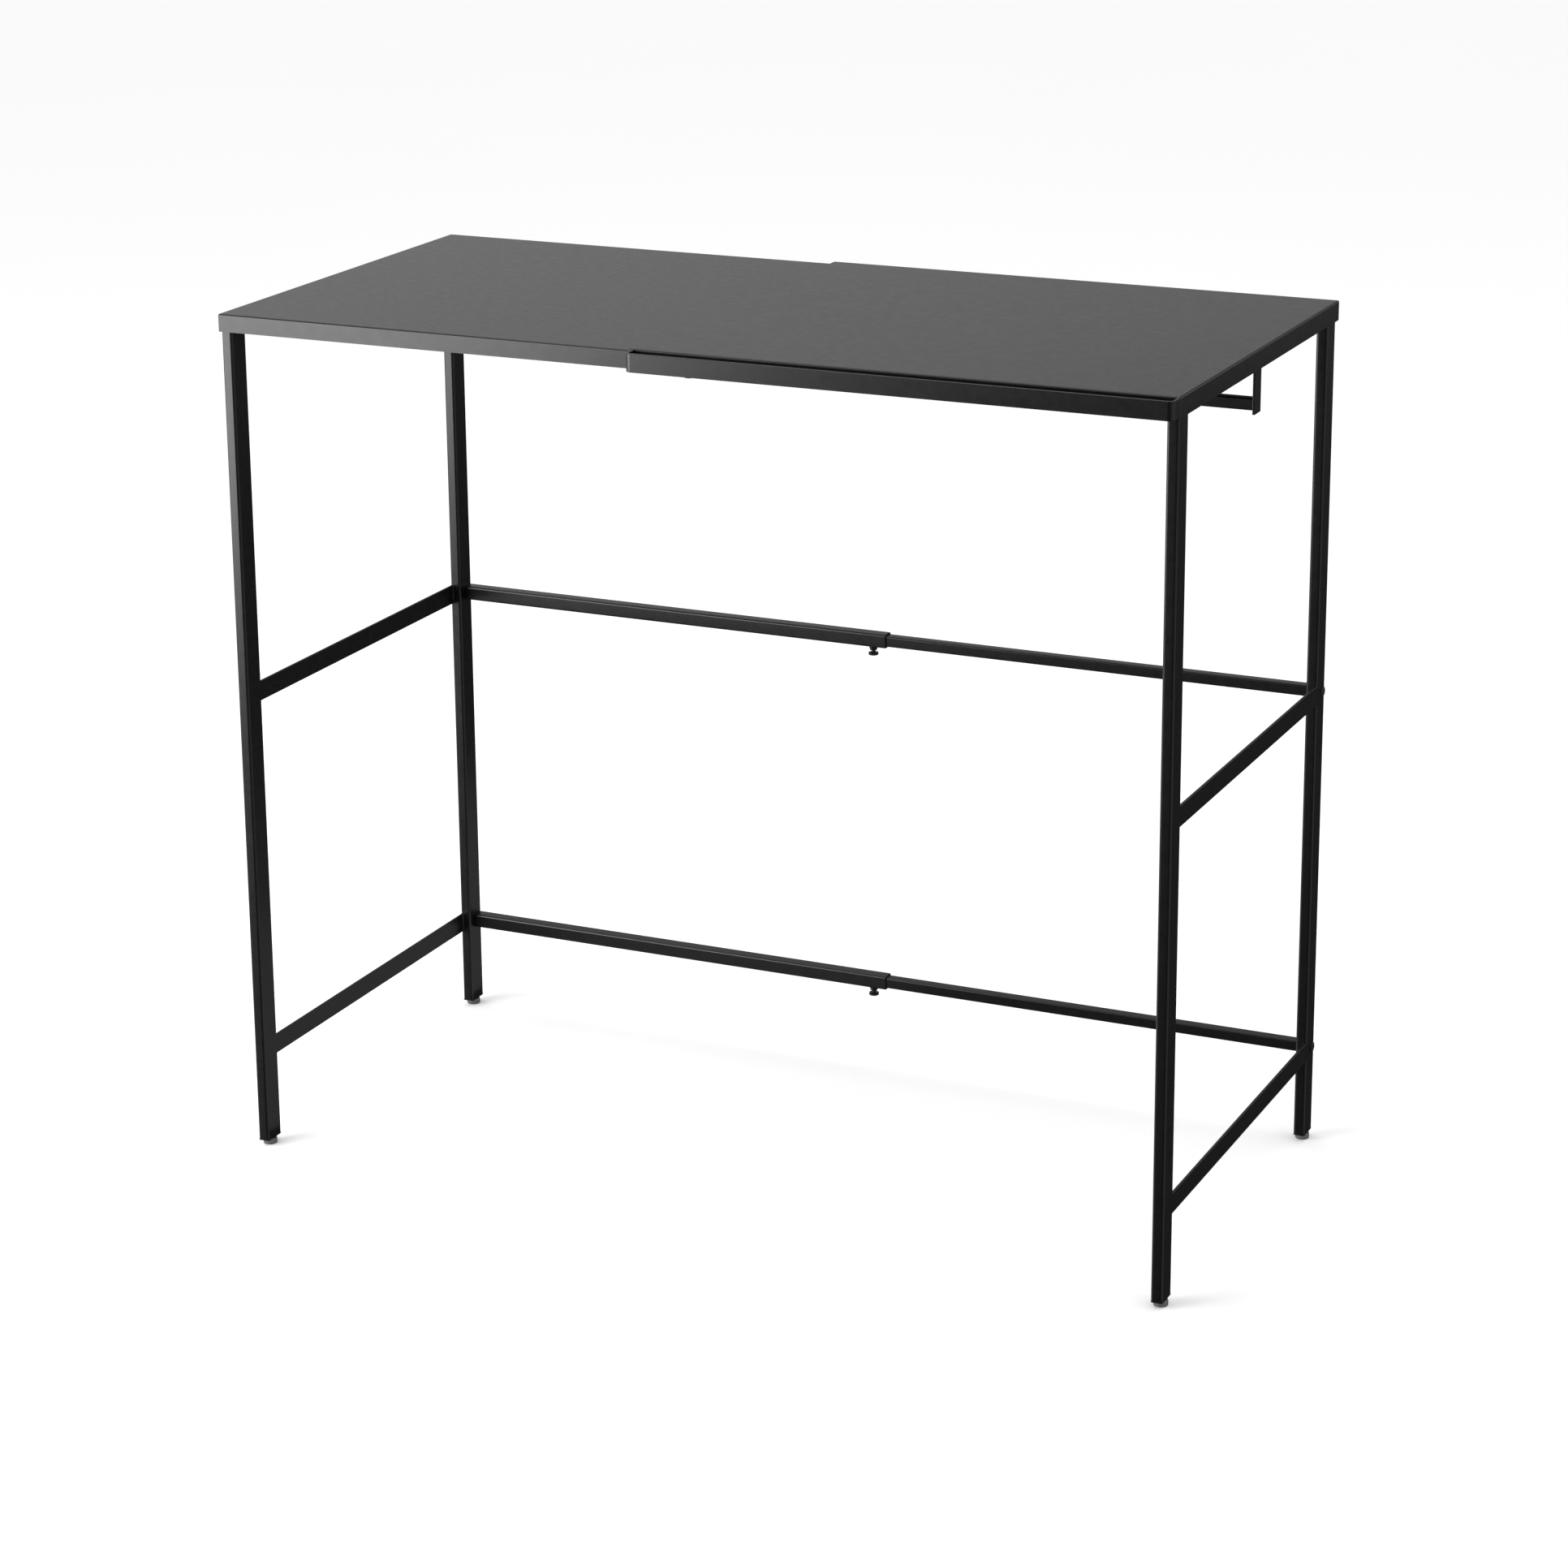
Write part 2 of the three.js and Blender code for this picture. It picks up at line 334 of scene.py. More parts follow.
def drill(piece: Object, spot: Vector, axis: int, radius: float, depth: float) -> None:
    """Cuts a round hole.

    Args:
        piece: The object to cut.
        spot: The middle of the hole.
        axis: The axis that it runs along.
        radius: The hole's radius.
        depth: The hole's whole length.
    """
    turn = {X: (0, math.pi / 2, 0), Y: (math.pi / 2, 0, 0), Z: (0, 0, 0)}[axis]
    bpy.ops.object.select_all(action="DESELECT")
    bpy.ops.mesh.primitive_cylinder_add(
        vertices=HOLE_SIDES, radius=radius, depth=depth, location=spot, rotation=turn
    )
    cutter = bpy.context.active_object
    finish_modifier(piece, "BOOLEAN", object=cutter, operation="DIFFERENCE", solver="EXACT")
    discard(cutter)


def join(pieces: Sequence[Object], name: str) -> Object:
    """Joins pieces into one.

    Args:
        pieces: The objects to join.
        name: The joined object's name.

    Returns:
        The joined object.
    """
    activate(pieces[0])
    for piece in pieces:
        piece.select_set(True)
    bpy.ops.object.join()
    pieces[0].name = pieces[0].data.name = name
    return pieces[0]


# ---- Shared node groups ---------------------------------------------------------


def link(tree: NodeTree, source: NodeSocket, target: NodeSocket) -> None:
    """Joins two sockets."""
    tree.links.new(source, target)


def math_node(tree: NodeTree, operation: str, first: object, second: object) -> NodeSocket:
    """Adds a Math node.

    Args:
        tree: The node tree it goes in.
        operation: What it works out.
        first: A socket or a number.
        second: A socket or a number.

    Returns:
        The socket with the result.
    """
    node = tree.nodes.new("ShaderNodeMath")
    node.operation = operation
    for socket, value in zip(node.inputs, (first, second)):
        if isinstance(value, NodeSocket):
            link(tree, value, socket)
        else:
            socket.default_value = value
    return node.outputs[0]


def range_node(
    tree: NodeTree, value: NodeSocket, source: tuple[float, float], target: tuple[float, float]
) -> NodeSocket:
    """Maps one range of values to another.

    Args:
        tree: The node tree it goes in.
        value: The socket to map.
        source: The range it has.
        target: The range it gets.

    Returns:
        The socket with the mapped value.
    """
    node = tree.nodes.new("ShaderNodeMapRange")
    link(tree, value, node.inputs["Value"])
    for name, number in zip(("From Min", "From Max", "To Min", "To Max"), source + target):
        node.inputs[name].default_value = number
    return node.outputs["Result"]


def noise_node(tree: NodeTree, vector: NodeSocket, scale: object, detail: float) -> NodeSocket:
    """Adds a Noise Texture node.

    Args:
        tree: The node tree it goes in.
        vector: The coordinates it reads.
        scale: A socket or a number of features a metre.
        detail: How many finer layers it has.

    Returns:
        The socket with the noise, 0 to 1.
    """
    node = tree.nodes.new("ShaderNodeTexNoise")
    link(tree, vector, node.inputs["Vector"])
    if isinstance(scale, NodeSocket):
        link(tree, scale, node.inputs["Scale"])
    else:
        node.inputs["Scale"].default_value = scale
    node.inputs["Detail"].default_value = detail
    return node.outputs["Fac"]


class NodeGroup:
    """A shader node group with named inputs and outputs."""

    def __init__(self, name: str, inputs: dict[str, object], outputs: Sequence[str]) -> None:
        """Makes the group and its sockets.

        Args:
            name: The group's name.
            inputs: Each input's name and first value, None for a vector.
            outputs: The outputs' names.
        """
        self.tree = bpy.data.node_groups.new(name, "ShaderNodeTree")
        for key, value in inputs.items():
            kind = "NodeSocketVector" if value is None else "NodeSocketFloat"
            socket = self.tree.interface.new_socket(key, in_out="INPUT", socket_type=kind)
            if value is not None:
                socket.default_value = value
        for key in outputs:
            self.tree.interface.new_socket(key, in_out="OUTPUT", socket_type="NodeSocketFloat")
        self.given = self.tree.nodes.new("NodeGroupInput").outputs
        self.result = self.tree.nodes.new("NodeGroupOutput").inputs

    def put(self, tree: NodeTree, **values: float) -> Node:
        """Places the group in a material.

        Args:
            tree: The material's node tree.
            **values: Numbers for its inputs, with _ for a space.

        Returns:
            The group's node.
        """
        node = tree.nodes.new("ShaderNodeGroup")
        node.node_tree = self.tree
        for key, value in values.items():
            node.inputs[key.replace("_", " ").title()].default_value = value
        return node


class SharedEffects:
    """The effects that several finishes use."""

    def __init__(self) -> None:
        """Builds each group once."""
        self.grain = self.build_grain()
        self.wear = self.build_wear()
        self.dust = self.build_dust()

    @staticmethod
    def build_grain() -> NodeGroup:
        """Fine pebbled surface with slow waviness, as sprayed or moulded skins have.

        Returns:
            The group, with a Height and a Mottle output.
        """
        values = {"Vector": None, "Grain": 1800.0, "Wave": 14.0, "Wave Share": 0.5}
        group = NodeGroup("surface_grain", values, ("Height", "Mottle"))
        tree, given = group.tree, group.given
        fine = noise_node(tree, given["Vector"], given["Grain"], 2.0)
        slow = noise_node(tree, given["Vector"], given["Wave"], 1.0)
        middle = math_node(tree, "MULTIPLY", given["Grain"], 0.07)
        patch = noise_node(tree, given["Vector"], middle, 3.0)
        waved = math_node(tree, "MULTIPLY", slow, given["Wave Share"])
        link(tree, math_node(tree, "ADD", fine, waved), group.result["Height"])
        link(tree, range_node(tree, patch, (0.3, 0.7), (0.0, 1.0)), group.result["Mottle"])
        return group

    @staticmethod
    def build_wear() -> NodeGroup:
        """Broken thinning of the coat along outer edges.

        Returns:
            The group, with an Edge output.
        """
        values = {"Vector": None, "Breaks": 90.0, "Strength": 1.0}
        group = NodeGroup("edge_wear", values, ("Edge",))
        tree, given = group.tree, group.given
        surface = tree.nodes.new("ShaderNodeNewGeometry")
        averaged = tree.nodes.new("ShaderNodeBevel")
        averaged.samples = 4
        averaged.inputs["Radius"].default_value = 1.1 * MM
        match = tree.nodes.new("ShaderNodeVectorMath")
        match.operation = "DOT_PRODUCT"
        link(tree, surface.outputs["True Normal"], match.inputs[0])
        link(tree, averaged.outputs["Normal"], match.inputs[1])
        rounded = range_node(tree, match.outputs["Value"], (0.99, 0.90), (0.0, 1.0))
        broken = noise_node(tree, given["Vector"], given["Breaks"], 4.0)
        gaps = range_node(tree, broken, (0.48, 0.66), (0.0, 1.0))
        worn = math_node(tree, "MULTIPLY", rounded, gaps)
        link(tree, math_node(tree, "MULTIPLY", worn, given["Strength"]), group.result["Edge"])
        return group

    @staticmethod
    def build_dust() -> NodeGroup:
        """Faint settled dust and hand marks on faces that look up.

        Returns:
            The group, with a Film output.
        """
        values = {"Vector": None, "Patches": 6.0, "Strength": 1.0}
        group = NodeGroup("dust_film", values, ("Film",))
        tree, given = group.tree, group.given
        surface = tree.nodes.new("ShaderNodeNewGeometry")
        parts = tree.nodes.new("ShaderNodeSeparateXYZ")
        link(tree, surface.outputs["Normal"], parts.inputs[0])
        upward = range_node(tree, parts.outputs["Z"], (0.2, 1.0), (0.0, 1.0))
        cloudy = noise_node(tree, given["Vector"], given["Patches"], 6.0)
        patches = range_node(tree, cloudy, (0.42, 0.72), (0.0, 1.0))
        film = math_node(tree, "MULTIPLY", upward, patches)
        link(tree, math_node(tree, "MULTIPLY", film, given["Strength"]), group.result["Film"])
        return group


# ---- Finishes -------------------------------------------------------------------


@dataclass(frozen=True)
class Finish:
    """One surface finish, made a procedural material."""

    name: str
    slot: Slot
    colour: Colour
    pale: Colour  # the colour in the lighter patches
    worn: Colour  # the colour where an edge is rubbed
    rough: tuple[float, float]
    metallic: float = 0.0
    grain: float = 1800.0
    bump: float = 0.12
    depth: float = 0.02 * MM
    wave_share: float = 0.15
    wear: float = 0.5
    dust: float = 0.05
    specular: float = 0.5

    def material(self, effects: SharedEffects) -> Material:
        """Builds the finish's material.

        Args:
            effects: The shared node groups.

        Returns:
            The material.
        """
        material = bpy.data.materials.new(self.name)
        material.use_nodes = True
        tree = material.node_tree
        shader = tree.nodes["Principled BSDF"]
        coords = tree.nodes.new("ShaderNodeTexCoord").outputs["Object"]
        grain = effects.grain.put(tree, grain=self.grain, wave_share=self.wave_share)
        wear = effects.wear.put(tree, strength=self.wear)
        dust = effects.dust.put(tree, strength=self.dust)
        for node in (grain, wear, dust):
            link(tree, coords, node.inputs["Vector"])
        colour = self.mix(tree, grain.outputs["Mottle"], self.colour, self.pale)
        colour = self.mix(tree, dust.outputs["Film"], colour, DUST_COLOUR)
        colour = self.mix(tree, wear.outputs["Edge"], colour, self.worn)
        link(tree, colour, shader.inputs["Base Color"])
        spread = range_node(tree, grain.outputs["Mottle"], (0.0, 1.0), self.rough)
        dusty = math_node(tree, "MULTIPLY", dust.outputs["Film"], DUST_ROUGHNESS)
        link(tree, math_node(tree, "ADD", spread, dusty), shader.inputs["Roughness"])
        bump = tree.nodes.new("ShaderNodeBump")
        bump.inputs["Strength"].default_value = self.bump
        bump.inputs["Distance"].default_value = self.depth
        link(tree, grain.outputs["Height"], bump.inputs["Height"])
        link(tree, bump.outputs["Normal"], shader.inputs["Normal"])
        shader.inputs["Metallic"].default_value = self.metallic
        shader.inputs["Specular IOR Level"].default_value = self.specular
        return material

    @staticmethod
    def mix(tree: NodeTree, mask: NodeSocket, first: object, second: object) -> NodeSocket:
        """Mixes two colours by a mask.

        Args:
            tree: The material's node tree.
            mask: How much of the second colour shows, 0 to 1.
            first: A colour or a colour socket.
            second: A colour or a colour socket.

        Returns:
            The socket with the mixed colour.
        """
        node = tree.nodes.new("ShaderNodeMix")
        node.data_type = "RGBA"
        node.clamp_factor = True
        link(tree, mask, node.inputs["Factor"])
        sockets = [s for s in node.inputs if s.type == "RGBA"]
        for socket, value in zip(sockets, (first, second)):
            if isinstance(value, NodeSocket):
                link(tree, value, socket)
            else:
                socket.default_value = (*value, 1.0)
        return next(s for s in node.outputs if s.type == "RGBA")


POWDER_COAT = Finish(
    "satin_black_powder_coat", Slot.STEEL, (0.0017, 0.0017, 0.0018), (0.0026, 0.0026, 0.0027),
    (0.05, 0.05, 0.052), (0.27, 0.30), bump=0.045, wear=0.35, dust=0.006,
)
BLACK_OXIDE = Finish(
    "black_oxide_screw", Slot.FASTENER, (0.008, 0.008, 0.009), (0.014, 0.0135, 0.013),
    (0.12, 0.115, 0.11), (0.24, 0.34), metallic=0.2, grain=2600.0, bump=0.15, wear=0.7,
    dust=0.01, specular=0.3,
)
ZINC_PLATE = Finish(
    "zinc_plated_insert", Slot.INSERT, (0.52, 0.53, 0.54), (0.62, 0.61, 0.58),
    (0.75, 0.75, 0.74), (0.28, 0.42), metallic=0.9, grain=900.0, bump=0.2,
)
CAP_PLASTIC = Finish(
    "black_cap_plastic", Slot.CAP, (0.003, 0.003, 0.003), (0.005, 0.005, 0.005),
    (0.02, 0.02, 0.02), (0.45, 0.6), grain=2200.0, bump=0.25, wear=0.4, dust=0.01,
)
FOOT_PLASTIC = Finish(
    "grey_foot_plastic", Slot.FOOT, (0.075, 0.075, 0.073), (0.10, 0.10, 0.098),
    (0.16, 0.16, 0.155), (0.42, 0.55), grain=1600.0, bump=0.2, wear=0.5, dust=0.03,
)


class Wardrobe:
    """All the finishes, made once and put on pieces."""

    def __init__(self) -> None:
        """Builds the shared effects and every material."""
        effects = SharedEffects()
        finishes = (POWDER_COAT, BLACK_OXIDE, ZINC_PLATE, CAP_PLASTIC, FOOT_PLASTIC)
        self.materials = {finish.slot: finish.material(effects) for finish in finishes}

    def dress(self, piece: Object, slot: Slot) -> None:
        """Puts a slot's material on a piece, and no other.

        Args:
            piece: The mesh object to dress.
            slot: The record's slot for its finish.
        """
        piece.data.materials.clear()
        piece.data.materials.append(self.materials[slot])
        LOG.info("%s dressed as %s", piece.name, slot.value)

    def hand_over(self, piece: Object, body: str, slot: Slot, *nodes: str) -> Object:
        """Dresses a new piece and puts it on its body.

        Args:
            piece: The finished mesh, in place.
            body: The body that it moves with.
            slot: The record's slot for its finish.
            *nodes: The frame's nodes that it stands for.

        Returns:
            The same piece.
        """
        self.dress(piece, slot)
        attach(piece, body)
        if nodes:
            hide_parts(*nodes)
        LOG.info("%s on %s, %d faces", piece.name, body, len(piece.data.polygons))
        return piece


# ---- Sub-assemblies -------------------------------------------------------------


@dataclass
class TopPanels:
    """The two folded sheets that lap at the middle."""

    wardrobe: Wardrobe
    sheet: float = 1.6 * MM
    bend: float = 1.7 * MM  # outer radius of the folds and corners
    bend_steps: int = 5
    eased: float = 0.25 * MM

    def folded(self, side: Side) -> Object:
        """Folds one panel: three skirts, open below and at the middle.

        Args:
            side: Which panel.

        Returns:
            The panel.
        """
        low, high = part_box(f"top_panel_{side.value}")
        panel = block(f"top_sheet_{side.value}", low, high)
        with editing(panel):
            pick(panel, Part.FACE, lambda f: f.normal.z < -FLAT or f.normal.x * side.inward > FLAT)
            bpy.ops.mesh.delete(type="FACE")
            pick(panel, Part.EDGE, lambda e: not e.is_boundary)
            bpy.ops.mesh.bevel(offset=self.bend, segments=self.bend_steps, affect="EDGES")
        thicken(panel, self.sheet)
        ease_edges(panel, self.eased)
        smooth(panel)
        return panel

    def build(self) -> None:
        """Makes both panels."""
        for side in Side:
            node = f"top_panel_{side.value}"
            self.wardrobe.hand_over(self.folded(side), side.body, Slot.STEEL, node)


@dataclass
class HookBar:
    """The flat strip in front of the right panel, turned back at both ends."""

    wardrobe: Wardrobe
    thick: float = 2.5 * MM
    bend: float = 6.0 * MM
    bend_steps: int = 10
    eased: float = 0.5 * MM
    eased_steps: int = 3

    def build(self) -> None:
        """Makes the bar."""
        low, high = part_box("hook_bar")
        bar = block("hook_strip", low, high)
        with editing(bar):
            pick(bar, Part.FACE, lambda f: abs(f.normal.z) > FLAT or f.normal.y > FLAT)
            bpy.ops.mesh.delete(type="FACE")
            pick(bar, Part.EDGE, lambda e: not e.is_boundary)
            bpy.ops.mesh.bevel(offset=self.bend, segments=self.bend_steps, affect="EDGES")
        thicken(bar, self.thick)
        ease_edges(bar, self.eased, self.eased_steps)
        smooth(bar)
        self.wardrobe.hand_over(bar, Side.RIGHT.body, Slot.STEEL, "hook_bar")


@dataclass
class WeldBeads:
    """Short fillet welds, each a row of overlapping drops."""

    radius: float = 1.3 * MM
    pitch: float = 0.95 * MM
    squash: float = 0.75  # a drop's thickness along the bead, against its width
    soft_turn: float = 50.0
    beads: list[Object] = field(default_factory=list)

    def lay(self, start: Vector, end: Vector) -> None:
        """Lays one bead between two points.

        Args:
            start: Where the bead starts.
            end: Where it ends.
        """
        along = end - start
        count = max(2, round(along.length / self.pitch))
        bpy.ops.object.select_all(action="DESELECT")
        bpy.ops.mesh.primitive_uv_sphere_add(segments=10, ring_count=6, radius=self.radius)
        drop = bpy.context.active_object
        with editing(drop):
            bpy.ops.mesh.select_all(action="SELECT")
            squeeze = [self.squash if abs(c) > along.length / 2 else 1.0 for c in along]
            bpy.ops.transform.resize(value=squeeze)
        place(drop, start)
        step = along / (count - 1)
        finish_modifier(
            drop, "ARRAY", count=count, use_relative_offset=False, use_constant_offset=True,
            constant_offset_displace=step,
        )
        smooth(drop, self.soft_turn)
        self.beads.append(drop)

    def joined(self, name: str) -> Object:
        """Joins all the beads laid so far into one piece."""
        return join(self.beads, name)


@dataclass
class EndFrame:
    """Two legs, the flat bars between them, caps, and the hanger's strap."""

    side: Side
    wardrobe: Wardrobe
    leg_wall: float = 1.2 * MM
    leg_radius: float = 2.6 * MM
    corner_steps: int = 5
    bolt_hole: float = 2.55 * MM
    bar_radius: float = 0.6 * MM
    bar_steps: int = 3
    bar_overlap: float = 2.2 * MM
    weld_stand: float = 0.2 * MM  # how far a bead's middle stands off the bar
    weld_inset: float = 1.5 * MM  # how far a bead ends from the bar's edges
    eased: float = 0.2 * MM
    levels: tuple[str, ...] = ("top", "mid", "low")

    def legs(self) -> None:
        """Makes both legs, the back one with its bolt holes."""
        for end in ("front", "back"):
            node = f"leg_{end}_{self.side.value}"
            low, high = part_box(node)
            leg = block(f"{node}_tube", low, high)
            with editing(leg):
                pick(leg, Part.EDGE, lambda e: runs_along(e, Z))
                radius, steps = self.leg_radius, self.corner_steps
                bpy.ops.mesh.bevel(offset=radius, segments=steps, affect="EDGES")
                pick(leg, Part.FACE, lambda f: abs(f.normal.z) > FLAT)
                bpy.ops.mesh.delete(type="FACE")
            thicken(leg, self.leg_wall)
            ease_edges(leg, self.eased)
            if end == "back":
                self.bore(leg, (low.x + high.x) / 2, high.x - low.x)
            smooth(leg)
            self.wardrobe.hand_over(leg, self.side.body, Slot.STEEL, node)

    def bore(self, leg: Object, middle: float, width: float) -> None:
        """Drills a back leg for the rails' bolts.

        Args:
            leg: The leg to drill.
            middle: Its middle in X.
            width: Its width in X.
        """
        for level in ("mid", "low"):
            low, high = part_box(f"rail_bolt_back_{level}_{self.side.value}")
            spot = Vector((middle, (low.y + high.y) / 2, (low.z + high.z) / 2))
            drill(leg, spot, X, self.bolt_hole, 2 * width)

    def bars(self) -> None:
        """Makes the flat bars that join the legs, run into their rounded corners."""
        into_leg = Vector((0.0, self.bar_overlap, 0.0))
        for level in self.levels:
            node = f"side_rail_{level}_{self.side.value}"
            low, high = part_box(node)
            self.flat_bar(node, low - into_leg, high + into_leg, Y)

    def strap(self) -> None:
        """Makes the strap that carries the hanger rail."""
        node = f"hanger_strap_{self.side.value}"
        self.flat_bar(node, *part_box(node), Z)

    def flat_bar(self, node: str, low: Vector, high: Vector, axis: int) -> None:
        """Makes one rolled flat bar with rounded long edges.

        Args:
            node: The frame's node that it stands for.
            low: The bar's lowest corner.
            high: The bar's highest corner.
            axis: The axis that it runs along.
        """
        bar = block(f"{node}_bar", low, high)
        with editing(bar):
            pick(bar, Part.EDGE, lambda e: runs_along(e, axis))
            bpy.ops.mesh.bevel(offset=self.bar_radius, segments=self.bar_steps, affect="EDGES")
        ease_edges(bar, self.eased)
        smooth(bar)
        self.wardrobe.hand_over(bar, self.side.body, Slot.STEEL, node)

    def welds(self) -> None:
        """Lays the welds at the bars' ends, on the inner side."""
        beads = WeldBeads()
        inner = 1 if self.side is Side.LEFT else 0
        for level in self.levels:
            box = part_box(f"side_rail_{level}_{self.side.value}")
            x = box[inner].x + self.weld_stand * self.side.inward
            low, high = box[0].z + self.weld_inset, box[1].z - self.weld_inset
            for y in (box[0].y, box[1].y):
                beads.lay(Vector((x, y, low)), Vector((x, y, high)))
        piece = beads.joined(f"bar_welds_{self.side.value}")
        self.wardrobe.hand_over(piece, self.side.body, Slot.STEEL)

    def caps(self) -> None:
        """Gives the leg caps, which keep their shape, their plastic."""
        for end in ("front", "back"):
            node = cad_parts[f"leg_cap_{end}_{self.side.value}"]
            self.wardrobe.dress(node, Slot.CAP)

    def build(self) -> None:
        """Makes the whole end frame."""
        self.legs()
        self.bars()
        self.strap()
        self.welds()
        self.caps()


@dataclass
class TelescopingRails:
    """The five rails: outer tubes on the left, inner tubes that slide on the right."""

    wardrobe: Wardrobe
    wall: float = 1.2 * MM
    outer_radius: float = 2.1 * MM
    inner_radius: float = 1.6 * MM
    corner_steps: int = 5
    screw_hole: float = 2.3 * MM
    screw_hole_depth: float = 6 * MM
    eased: float = 0.2 * MM
    names: tuple[str, ...] = ("top_front", "top_back", "hanger", "back_mid", "back_low")

    def tube(self, node: str, radius: float) -> Object:
        """Makes one square tube, open at both ends.

        Args:
            node: The frame's node that it stands for.
            radius: Its corner radius.

        Returns:
            The tube.
        """
        tube = block(f"{node}_steel", *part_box(node))
        with editing(tube):
            pick(tube, Part.EDGE, lambda e: runs_along(e, X))
            bpy.ops.mesh.bevel(offset=radius, segments=self.corner_steps, affect="EDGES")
            pick(tube, Part.FACE, lambda f: abs(f.normal.x) > FLAT)
            bpy.ops.mesh.delete(type="FACE")
        thicken(tube, self.wall)
        ease_edges(tube, self.eased)
        return tube

    def build(self) -> None:
        """Makes all the tubes, and drills the outer ones for their screws."""
        for name in self.names:
            outer = self.tube(f"outer_tube_{name}", self.outer_radius)
            low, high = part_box(f"thumb_screw_{name}")
            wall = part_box(f"outer_tube_{name}")[0].z
            spot = centred(low, high, wall)
            drill(outer, spot, Z, self.screw_hole, self.screw_hole_depth)
            inner = self.tube(f"inner_tube_{name}", self.inner_radius)
            for piece, side in ((outer, Side.LEFT), (inner, Side.RIGHT)):
                smooth(piece)
                node = piece.name.removesuffix("_steel")
                self.wardrobe.hand_over(piece, side.body, Slot.STEEL, node)


@dataclass
class ThumbScrews:
    """The screws that lock the rails, and the nuts that they turn in."""

    wardrobe: Wardrobe
    head: float = 5.15 * MM
    head_height: float = 2.8 * MM
    rim: float = 0.35 * MM
    face: float = 0.5 * MM
    dish: float = 0.25 * MM  # how deep the head's end is hollowed
    dish_lip: tuple[float, float] = (1.9 * MM, 1.4 * MM)  # inwards from the rim
    knurl_edge: float = 0.16 * MM
    knurl_depth: float = 0.14 * MM
    knurl_eased: float = 0.06 * MM
    shank: float = 2.0 * MM
    tip: float = 0.4 * MM
    thread: float = 0.18 * MM
    pitch: float = 0.7 * MM
    nut_top: float = 4.75 * MM
    nut_bottom: float = 3.7 * MM
    nut_bore: float = 2.3 * MM
    nut_eased: float = 0.3 * MM
    nut_steps: int = 3

    def screw(self, low: Vector, high: Vector) -> Object:
        """Makes the pattern screw: knurled flat head, threaded shank.

        Args:
            low: The lowest corner of one screw's box.
            high: The highest corner of it.

        Returns:
            The screw, standing at the origin.
        """
        head, rim, face = self.head, self.rim, self.face
        length, top = high.z - low.z, self.head_height
        inner, outer = self.dish_lip
        profile = [(0.0, self.dish), (head - inner, self.dish), (head - outer, 0.0)]
        profile += [(head - face, 0.0), (head, rim), (head, top - rim), (head - face, top)]
        thread = thread_rings(self.shank, self.thread, self.pitch, top, length)
        profile += [(self.shank, top), *thread, (self.shank - self.tip, length), (0.0, length)]
        screw = turned("thumb_screw_pattern", profile)
        with editing(screw):
            pick(screw, Part.FACE, self.on_side)
            edge, sink = self.knurl_edge, -self.knurl_depth
            bpy.ops.mesh.inset(thickness=edge, depth=sink, use_individual=True)
        ease_edges(screw, self.knurl_eased, 1)
        smooth(screw, SHARP_TURN)
        return screw

    def on_side(self, face: bmesh.types.BMFace) -> bool:
        """Says whether a face of the pattern screw is on its head's round side."""
        out = math.hypot(*face.calc_center_median().xy)
        return out > self.head * NEAR_RIM and abs(face.normal.z) < UPRIGHT

    def nut(self, height: float) -> Object:
        """Makes the pattern nut: a hexagon that tapers downwards, bored through.

        Args:
            height: How tall it is.

        Returns:
            The nut, its top at the origin.
        """
        bpy.ops.object.select_all(action="DESELECT")
        bpy.ops.mesh.primitive_cone_add(
            vertices=6, radius1=self.nut_bottom, radius2=self.nut_top, depth=height,
            location=(0, 0, -height / 2),
        )
        nut = bpy.context.active_object
        bpy.ops.object.transform_apply(location=True, rotation=True, scale=True)
        ease_edges(nut, self.nut_eased, self.nut_steps)
        drill(nut, Vector((0, 0, -height / 2)), Z, self.nut_bore, 2 * height)
        smooth(nut, SHARP_TURN)
        return nut

    def build(self) -> None:
        """Makes one screw and one nut, and copies them to every rail."""
        names = TelescopingRails.names
        low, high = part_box(f"thumb_screw_{names[0]}")
        screw = self.screw(low, high)
        nut_low, nut_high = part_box(f"thumb_nut_{names[0]}")
        nut = self.nut(nut_high.z - nut_low.z)
        for name in names:
            body = node = f"thumb_screw_{name}"
            low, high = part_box(node)
            spot = centred(low, high, low.z)
            twin = place(copy_of(screw, f"{node}_turned"), spot)
            self.wardrobe.hand_over(twin, body, Slot.FASTENER, node)
            node = f"thumb_nut_{name}"
            spot.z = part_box(node)[1].z
            twin = place(copy_of(nut, f"{node}_hex"), spot)
            self.wardrobe.hand_over(twin, Side.LEFT.body, Slot.FASTENER, node)
        discard(screw)
        discard(nut)


